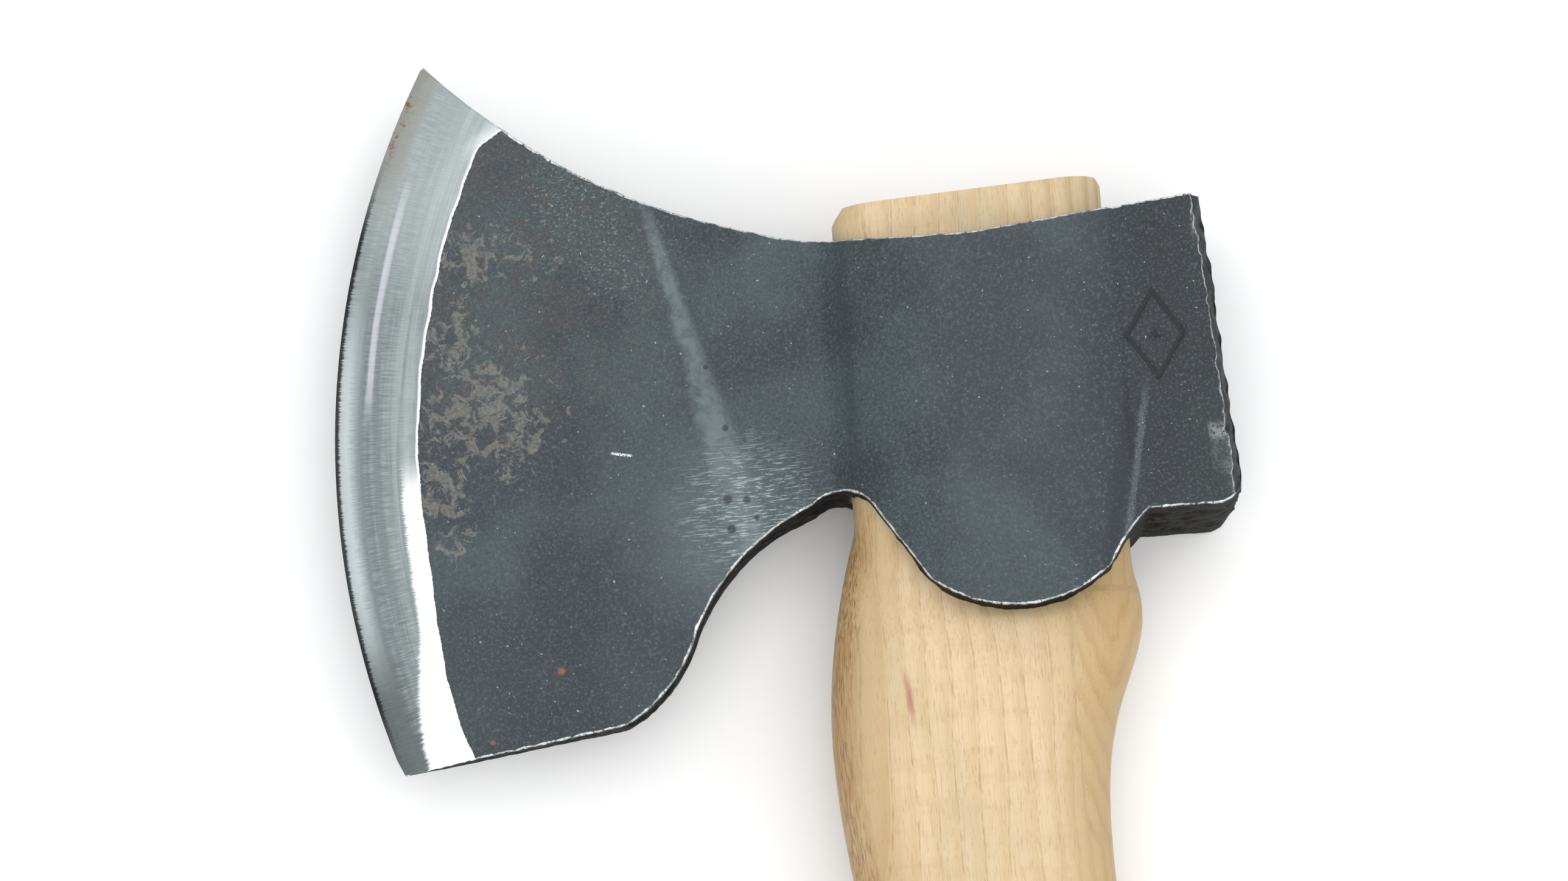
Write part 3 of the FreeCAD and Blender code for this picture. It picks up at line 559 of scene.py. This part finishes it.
class HeadShape(Solid):
    """The head's outline, its thickness and the circle of its cutting edge."""

    def __init__(self):
        super().__init__("axe_head")
        self.read_edge()
        self.read_poll()
        self.read_thickness()
        self.run = self.poll_x - (self.centre[0] - self.radius)
        self.across = np.arange(HEAD_LOW.x, HEAD_HIGH.x, 0.2 * MM)
        self.top, self.bottom = self.outline(1), self.outline(-1)

    def read_edge(self):
        """The circle of the cutting edge, and its ends at the toe and the heel."""
        toe = max(self.points, key=lambda p: p.y)
        heel = min((p for p in self.points if p.x < HEAD_LOW.x + 15 * MM), key=lambda p: p.y)
        front = min(self.points, key=lambda p: p.x)
        self.centre, self.radius = circle_through(toe, front, heel)
        self.toe_y, self.heel_y = toe.y, heel.y

    def read_poll(self):
        """The poll's face: where it crosses the X axis, its lean and its two ends."""
        upper = self.hit((0.2, 15 * MM, MIDDLE), (-1, 0, 0))
        lower = self.hit((0.2, -15 * MM, MIDDLE), (-1, 0, 0))
        self.lean = (upper.x - lower.x) / (upper.y - lower.y)
        self.poll_x = upper.x - self.lean * upper.y
        self.poll_low = min(p.y for p in self.points
                            if abs(p.x - self.poll_x - self.lean * p.y) < 0.02 * MM)
        self.poll_top = max((p for p in self.points if p.x > 0), key=lambda p: p.y)

    def read_thickness(self):
        """Half thickness along two lines: across the bevel, and from there to the poll."""
        self.insets = np.arange(0.0, BEVEL, 0.2 * MM)
        self.bevel_half = [self.half(self.edge_x(self.centre[1], inset), self.centre[1])
                           for inset in self.insets]
        rise = self.bevel_half[-1] - self.bevel_half[-11]
        self.bevel_slope = rise / (self.insets[-1] - self.insets[-11])
        self.xs = np.arange(HEAD_LOW.x + BEVEL + 1 * MM, self.poll_x - 0.02 * MM, 0.25 * MM)
        self.cheek_half = self.softened([self.half(x, 0.0) for x in self.xs])

    def half(self, x, y):
        """Half thickness at a place on the cheek."""
        place = self.hit((x, y, 0.1), (0, 0, -1))
        return place.z - MIDDLE if place is not None else 0.0

    def softened(self, heights):
        """The cheek's profile with its creases rounded, as a hammer leaves them."""
        reach = np.arange(-8, 9)
        weights = np.exp(-(reach / 3.2) ** 2)
        blurred = np.convolve(np.pad(heights, 8, mode="edge"), weights / weights.sum(), "valid")
        return np.where(self.xs < self.poll_top.x - 3 * MM, blurred, heights)

    def outline(self, side):
        """Height of the outline against X, above (1) or below (-1) the eye."""
        found = []
        for x in self.across:
            high = 0.005 * MM if x < -22 * MM else 0.93 * self.half(x, 0.0)
            place = self.hit((x, side * 0.1, MIDDLE + high), (0, -side, 0))
            found.append(place.y if place is not None else np.nan)
        found = np.array(found)
        last = self.poll_top.x - CROWN if side > 0 else HEAD_HIGH.x
        good = ~np.isnan(found) & (self.across < last - 0.2 * MM)
        xs, ys = self.across[good], found[good]
        slope = (ys[-1] - ys[-6]) / (xs[-1] - xs[-6]) if side > 0 else 0.0
        past = xs[-1] + 6 * MM
        return np.append(xs, past), np.append(ys, ys[-1] + slope * 6 * MM)

    def edge_x(self, y, inset):
        """X of the curve that runs inside the cutting edge at a distance from it."""
        reach = (self.radius - inset) ** 2 - (y - self.centre[1]) ** 2
        return self.centre[0] - np.sqrt(np.maximum(reach, 0.0))

    def column_x(self, y, inset):
        """X of a column: parallel to the edge in the bevel, then turning into the poll."""
        share = max(0.0, (inset - BEVEL) / (self.run - BEVEL))
        curved = self.edge_x(y, min(inset, BEVEL))
        return curved * (1 - share) + (self.poll_x + self.lean * y) * share

    def column_end(self, inset, side):
        """Where a column meets the outline, above or below."""
        if side < 0 and inset >= self.run:
            return self.poll_low
        line, y = (self.top, self.toe_y) if side > 0 else (self.bottom, self.heel_y)
        for _ in range(60):     # the column curves, so every try comes closer
            y = float(np.interp(self.column_x(y, inset), *line))
        return y

    def edge_inset(self, x, y):
        """Distance inside the cutting edge."""
        return self.radius - np.hypot(x - self.centre[0], y - self.centre[1])

    def edge_along(self, x, y):
        """Distance along the cutting edge, up from the level of its centre."""
        return self.radius * np.arctan2(y - self.centre[1], self.centre[0] - x)

    def bevel_height(self, inset):
        """Half thickness of the ground bevel, carried on at its own slope past its end."""
        past = np.maximum(inset - self.insets[-1], 0.0) * self.bevel_slope
        return np.interp(inset, self.insets, self.bevel_half) + past

    def cheek_height(self, x, y):
        """Half thickness of the forged cheek before the bevel is ground."""
        warped = x + CREASE_LEAN * y * np.clip((x + 62 * MM) / (12 * MM), 0, 1) \
            * np.clip((-30 * MM - x) / (6 * MM), 0, 1)
        near_poll = np.clip((x - 28 * MM) / (4 * MM), 0, 1)
        chips = (0.45 * rough(x, y, 0, 2.6 * MM, 31) + 0.3 * rough(x, y, 0, 1.2 * MM, 32)) * MM
        shift = near_poll * (chips - self.lean * y)
        return np.interp(warped + shift, self.xs, self.cheek_half) + self.grind_line(x, y)

    def grind_line(self, x, y):
        """How much the blade is thicker by the bevel, which the bevel is then wider for."""
        along = self.edge_along(x, y) / MM
        wider = 0.7 - 2.6 * smooth((-12 - along) / 36) + 2.3 * smooth((along - 60) / 7)
        return wider * MM * self.bevel_slope * smooth((38 * MM - self.edge_inset(x, y)) / (22 * MM))


def smooth(share):
    """A soft step from 0 to 1."""
    share = np.clip(share, 0, 1)
    return share * share * (3 - 2 * share)


def circle_through(a, b, c):
    """Centre and radius of the circle through three points, seen from above."""
    rows = np.array([[2 * (b.x - a.x), 2 * (b.y - a.y)], [2 * (c.x - a.x), 2 * (c.y - a.y)]])
    squares = [p.x ** 2 + p.y ** 2 for p in (a, b, c)]
    centre = np.linalg.solve(rows, np.array([squares[1] - squares[0], squares[2] - squares[0]]))
    return centre, math.hypot(a.x - centre[0], a.y - centre[1])


def spaced(start, end, step):
    """Evenly spaced values after start, up to end."""
    count = max(1, round((end - start) / step))
    return list(np.linspace(start, end, count + 1))[1:]


def rough(x, y, z, grain, seed=0.0):
    """Smooth noise from -1 to 1 whose lumps are about one grain wide."""
    points = np.stack(np.broadcast_arrays(x, y, z), axis=-1) / grain
    flat = [noise.noise(Vector(p) + Vector((seed, 2 * seed, 0))) for p in points.reshape(-1, 3)]
    return np.array(flat).reshape(points.shape[:-1])


# ---------------------------------------------------------------- the forged head

def rim_steps(count_in_middle, length):
    """Places across a length, close together at both ends, where the rim is round."""
    near = np.array(RIM_STEPS) * MM
    middle = np.linspace(near[-1], length - near[-1], count_in_middle + 2)[1:-1]
    return np.concatenate([near, middle, length - near[::-1]])


def stamped_mark(x, y):
    """Depth of a plain lozenge with a dot in it, struck into the cheek by the poll."""
    across, up = (x - MARK[0]) / MM, (y - MARK[1]) / MM
    lozenge = np.abs(np.abs(across) / MARK_HALF[0] + np.abs(up) / MARK_HALF[1] - 1) * 3.6
    dot = np.hypot(across, up) - 0.5
    nearest = np.minimum(lozenge, np.maximum(dot, 0.0))
    return np.clip(1.15 - nearest / 0.45, 0, 1)


def sheet_heights(shape, x, y, rim, seed):
    """Half thickness of one cheek at every place, and how far the grinding has cut it."""
    bumps = 0.13 * rough(x, y, 0, 11 * MM, seed) + 0.06 * rough(x, y, 0, 4 * MM, seed)
    bumps += 0.022 * rough(x, y, 0, 1.4 * MM, seed)
    calm = np.clip((x + 60 * MM) / (60 * MM), 0, 1)
    cheek = shape.cheek_height(x, y) + bumps * MM * (0.75 + 0.6 * calm)
    inset = shape.edge_inset(x, y)
    bevel = shape.bevel_height(inset)
    ground = (cheek - bevel) / MM
    height = np.minimum(cheek, bevel)
    if seed == NEAR_SEED:
        height = height - MARK_DEPTH * stamped_mark(x, y)
    chips = np.maximum(rough(x, y, 0, 1.1 * MM, seed + 5), 0) ** 2
    radius = (0.22 + 0.3 * np.abs(rough(x, y, 0, 5 * MM, seed + 3)) + 0.9 * chips) * MM
    radius = np.minimum(radius, 0.85 * height)
    inside = np.clip(radius - rim, 0, radius)
    rounded = height - radius + np.sqrt(np.maximum(radius ** 2 - inside ** 2, 0))
    return np.where(inset < 0.5 * MM, height, rounded), ground


def outline_normals(xs, ys):
    """Unit vectors pointing out of a run of outline points that keeps the head on its left."""
    along = np.stack([np.gradient(xs), np.gradient(ys)], axis=-1)
    along /= np.maximum(np.linalg.norm(along, axis=-1, keepdims=True), 1e-12)
    return np.stack([along[:, 1], -along[:, 0]], axis=-1)


class MeshParts:
    """Vertices, faces and per-vertex measures of a mesh while it is put together."""

    def __init__(self, *measures):
        self.points, self.faces = [], []
        self.measures = {name: [] for name in measures}

    def add_grid(self, points, flip=False, closed=False, **measures):
        """A grid of points (rows, columns, 3) joined by quads."""
        rows, columns = points.shape[:2]
        first = len(self.points)
        self.points.extend(map(tuple, points.reshape(-1, 3)))
        for name, kept in self.measures.items():
            values = np.broadcast_to(measures.get(name, 0.0), (rows, columns))
            kept.extend(values.reshape(-1))
        for row in range(rows - 1):
            for column in range(columns if closed else columns - 1):
                after = (column + 1) % columns
                quad = [first + row * columns + column, first + row * columns + after,
                        first + (row + 1) * columns + after, first + (row + 1) * columns + column]
                self.faces.append(quad[::-1] if flip else quad)

    def make(self, name, material):
        """The finished object, with coinciding points merged."""
        mesh = bpy.data.meshes.new(name)
        mesh.from_pydata(self.points, [], self.faces)
        for measure, values in self.measures.items():
            layer = mesh.attributes.new(measure, "FLOAT", "POINT")
            layer.data.foreach_set("value", np.array(values, dtype=np.float32))
        mesh.materials.append(material)
        piece = bpy.data.objects.new(name, mesh)
        bpy.context.scene.collection.objects.link(piece)
        merged = bmesh.new()
        merged.from_mesh(mesh)
        bmesh.ops.remove_doubles(merged, verts=merged.verts, dist=0.003 * MM)
        bmesh.ops.dissolve_degenerate(merged, edges=merged.edges, dist=0.002 * MM)
        bmesh.ops.recalc_face_normals(merged, faces=merged.faces)
        merged.to_mesh(mesh)
        merged.free()
        mesh.shade_smooth()
        return piece


def head_grid(shape):
    """Places (X, Y) of the grid, from the cutting edge to the poll, and distances to the rim."""
    insets = [step * MM for step in EDGE_STEPS]
    for end, step in ((BEVEL, 0.55), (15 * MM, 0.35), (shape.run - 20 * MM, 0.55),
                      (shape.run - 3 * MM, 0.35)):
        insets += spaced(insets[-1], end, step * MM)
    insets += [shape.run - step * MM for step in POLL_STEPS]
    columns = []
    for inset in insets:
        low, high = shape.column_end(inset, -1), shape.column_end(inset, 1)
        y = low + rim_steps(ROWS, high - low)
        columns.append((shape.column_x(y, inset), y))
    x = np.array([column[0] for column in columns])
    y = np.array([column[1] for column in columns])
    slope_low = np.gradient(y[:, 0]) / np.gradient(x[:, 0])
    slope_high = np.gradient(y[:, -1]) / np.gradient(x[:, -1])
    below = (y - y[:, :1]) / np.sqrt(1 + slope_low[:, None] ** 2)
    above = (y[:, -1:] - y) / np.sqrt(1 + slope_high[:, None] ** 2)
    return x, y, np.minimum(below, above)


def make_head(shape):
    """The forging: two cheeks from one grid, and a rough wall round the outline."""
    x, y, rim = head_grid(shape)
    jag = (0.13 * rough(x, y, 0, 2.2 * MM, 11) + 0.07 * rough(x, y, 0, 0.8 * MM, 12)) * MM
    jag *= np.clip(1 - rim / (1.2 * MM), 0, 1) * np.clip(shape.edge_inset(x, y) / BEVEL - 0.2, 0, 1)
    side = np.where(np.arange(y.shape[1]) < y.shape[1] / 2, -1.0, 1.0)
    y = y + jag * side
    bulge = 0.55 * rough(0, y, 0, 7 * MM, 14) + 0.35 * rough(0, y, 0, 2.4 * MM, 15)
    x = x + bulge * MM * smooth((x - shape.poll_x - shape.lean * y + 2.6 * MM) / (2.2 * MM))
    parts = MeshParts(*HEAD_MEASURES)
    along, inset = shape.edge_along(x, y) / MM, shape.edge_inset(x, y) / MM
    sheets = []
    for sign, seed in ((1, NEAR_SEED), (-1, FAR_SEED)):
        height, ground = sheet_heights(shape, x, y, rim, seed)
        height[0] = 0.0
        points = np.stack([x, y, MIDDLE + sign * height], axis=-1)
        parts.add_grid(points, flip=sign < 0, inset=inset, along=along, ground=ground,
                       rim=rim / MM, wall=0.0)
        sheets.append(points)
    add_wall(parts, shape, *(rim_run(sheet) for sheet in sheets), len(x))
    piece = parts.make("forged_head", head_steel())
    cut_eye(piece, shape)
    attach(piece, "root")
    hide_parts("axe_head")


def rim_run(sheet):
    """One cheek's rim: from the heel under the head, up the poll and back to the toe."""
    return np.concatenate([sheet[:, 0], sheet[-1, 1:], sheet[-2::-1, -1]])


def add_wall(parts, shape, upper, lower, below):
    """A rough strip that joins the two cheeks' rims, with painted shade, blackest, in its first
    columns, below.
    """
    share = np.linspace(0, 1, WALL_ROWS)[:, None]
    points = upper[None] * (1 - share[..., None]) + lower[None] * share[..., None]
    out = outline_normals(upper[:, 0], upper[:, 1])
    # 1 marks the walls below for full painted shade; 0.7 marks the other walls as plain wall.
    dark = np.where(np.arange(len(upper)) < below, 1.0, 0.7)
    x, y, z = points[..., 0], points[..., 1], points[..., 2]
    lumps = 0.42 * rough(x, y, z, 3.2 * MM, 21) + 0.22 * rough(x, y, z, 1.2 * MM, 22)
    thick = np.abs(upper[:, 2] - lower[:, 2])[None]
    window = np.minimum(1, 6 * share * (1 - share)) * np.clip(thick / (6 * MM), 0, 1)
    points[..., :2] += (lumps * MM * window)[..., None] * out[None]
    edge = np.minimum(share, 1 - share) * thick / MM
    parts.add_grid(points, inset=shape.edge_inset(x, y) / MM, along=shape.edge_along(x, y) / MM,
                   ground=-1.0, rim=edge, wall=dark)


def cut_eye(piece, shape):
    """Cuts the eye through the head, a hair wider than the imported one."""
    angles = np.linspace(0, TURN, EYE_POINTS + 1)[:-1]
    directions = [(math.cos(angle), 0, math.sin(angle)) for angle in angles]
    rings = []
    for y in (-EYE_READ, EYE_READ):
        centre = Vector((0, y, MIDDLE))
        rings.append([shape.hit(centre, d) + Vector(d) * EYE_ROOM for d in directions])
    cutter = bmesh.new()
    ends = []
    for y in (-EYE_REACH, EYE_REACH):
        share = (y / EYE_READ + 1) / 2
        ring = [low.lerp(high, share) for low, high in zip(*rings)]
        ends.append([cutter.verts.new(p) for p in ring])
    for index in range(len(directions)):
        after = (index + 1) % len(directions)
        cutter.faces.new([ends[0][index], ends[0][after], ends[1][after], ends[1][index]])
    cutter.faces.new(ends[0])
    cutter.faces.new(ends[1])
    bmesh.ops.recalc_face_normals(cutter, faces=cutter.faces)
    mesh = bpy.data.meshes.new("eye_cutter")
    cutter.to_mesh(mesh)
    cutter.free()
    # The eye's walls are marked for the full painted shade of the lower walls.
    for measure in HEAD_MEASURES:
        values = np.full(len(mesh.vertices), 1.0 if measure == "wall" else 3.0, dtype=np.float32)
        mesh.attributes.new(measure, "FLOAT", "POINT").data.foreach_set("value", values)
    tool = bpy.data.objects.new("eye_cutter", mesh)
    bpy.context.scene.collection.objects.link(tool)
    cut = piece.modifiers.new("eye", "BOOLEAN")
    cut.object, cut.operation, cut.solver = tool, "DIFFERENCE", "EXACT"
    graph = bpy.context.evaluated_depsgraph_get()
    finished = bpy.data.meshes.new_from_object(piece.evaluated_get(graph))
    piece.modifiers.clear()
    piece.data = finished
    bpy.data.objects.remove(tool)
    drop_shards(finished)
    finished.set_sharp_from_angle(angle=math.radians(HEAD_CREASE))


def drop_shards(mesh):
    """Removes the hair-thin flaps that the cut leaves along its rim."""
    whole = bmesh.new()
    whole.from_mesh(mesh)
    bmesh.ops.triangulate(whole, faces=[face for face in whole.faces if len(face.verts) > 4])
    alike = {}
    for face in whole.faces:
        alike.setdefault(frozenset(face.verts), []).append(face)
    flaps = [face for face in whole.faces if len(alike[frozenset(face.verts)]) > 1
             or any(edge.is_boundary for edge in face.edges)]
    bmesh.ops.delete(whole, geom=flaps, context="FACES")
    whole.to_mesh(mesh)
    whole.free()


# ---------------------------------------------------------------- the handle

def make_handle():
    """The handle: its grip as smooth rings, and its split tenon as packed."""
    solid = Solid("handle")
    parts = MeshParts("front")
    back_end = solid.hit((0, -0.3, MIDDLE), (0, -1, 0))
    ahead = solid.hit((-8 * MM, -0.3, MIDDLE), (0, -1, 0))
    slope = (back_end.y - ahead.y) / (back_end.x - ahead.x)
    kerf_tip = solid.hit((0, -30 * MM, MIDDLE), (0, 1, 0)).y
    places = [back_end.y + step * MM for step in END_STEPS]
    places += spaced(places[-1], kerf_tip - 1 * MM, 1.5 * MM)
    rings = np.array([handle_ring(solid, y, slope, back_end) for y in places])
    knob_end = rings[0]
    caps, lids = shrunk(knob_end, (0.0, 0.3, 0.6, 0.85)), shrunk(rings[-1], (0.6, 0.0))
    rings = np.concatenate([caps, rings, lids])
    front = rings[..., 0] - rings[..., 0].min(axis=1, keepdims=True)
    front[:len(caps)] = caps[0][:, 0] - knob_end[:, 0].min()
    parts.add_grid(rings, closed=True, front=front / MM)
    piece = parts.make("hickory_handle", hickory())
    add_tenon(piece, places[-1])
    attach(piece, "root")
    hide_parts("handle")


def shrunk(ring, factors):
    """Smaller copies of a ring about its middle, which close an end."""
    middle = ring.mean(axis=0)
    return [middle + (ring - middle) * factor for factor in factors]


def handle_ring(solid, y, slope, back_end):
    """A section of the handle, tilted with the knob's end near it."""
    tilt = slope * np.clip(1 - (y - back_end.y) / (30 * MM), 0, 1)
    left = solid.hit((-0.2, y, MIDDLE), (1, 0, 0))
    right = solid.hit((0.2, y, MIDDLE), (-1, 0, 0))
    middle = (left.x + right.x) / 2 if y > back_end.y + 12 * MM else back_end.x
    centre = Vector((middle, y + tilt * (middle - back_end.x), MIDDLE))
    ring = []
    for angle in np.linspace(0, TURN, RING_POINTS + 1)[:-1]:
        direction = Vector((math.cos(angle), tilt * math.cos(angle), math.sin(angle)))
        ring.append(solid.hit(centre, direction))
    return ring


def add_tenon(piece, low):
    """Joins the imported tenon, from just below its kerf to its end, to the grip."""
    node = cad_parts["handle"]
    tenon = bmesh.new()
    tenon.from_mesh(node.data)
    tenon.transform(node.matrix_world)
    bmesh.ops.remove_doubles(tenon, verts=tenon.verts, dist=0.001 * MM)
    everything = tenon.verts[:] + tenon.edges[:] + tenon.faces[:]
    bmesh.ops.bisect_plane(tenon, geom=everything, plane_co=(0, low, 0), plane_no=(0, -1, 0),
                           clear_outer=True)
    bmesh.ops.holes_fill(tenon, edges=[edge for edge in tenon.edges if edge.is_boundary])
    layer = tenon.verts.layers.float.new("front")
    for vertex in tenon.verts:
        vertex[layer] = BEHIND_FRONT
    mesh = bpy.data.meshes.new("tenon")
    tenon.to_mesh(mesh)
    tenon.free()
    whole = bmesh.new()
    whole.from_mesh(piece.data)
    whole.from_mesh(mesh)
    whole.to_mesh(piece.data)
    whole.free()
    piece.data.shade_smooth()
    piece.data.set_sharp_from_angle(angle=math.radians(HANDLE_CREASE))


def finish_wedges():
    """Materials of the two wedges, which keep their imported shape."""
    wedge_wood = hickory("wedge_wood", srgb(214, 180, 132), srgb(186, 146, 98))
    for name, material in (("wooden_wedge", wedge_wood), ("steel_wedge", wedge_steel())):
        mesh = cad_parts[name].data
        mesh.materials.clear()
        mesh.materials.append(material)


make_camera()
make_studio()
make_head(HeadShape())
make_handle()
finish_wedges()
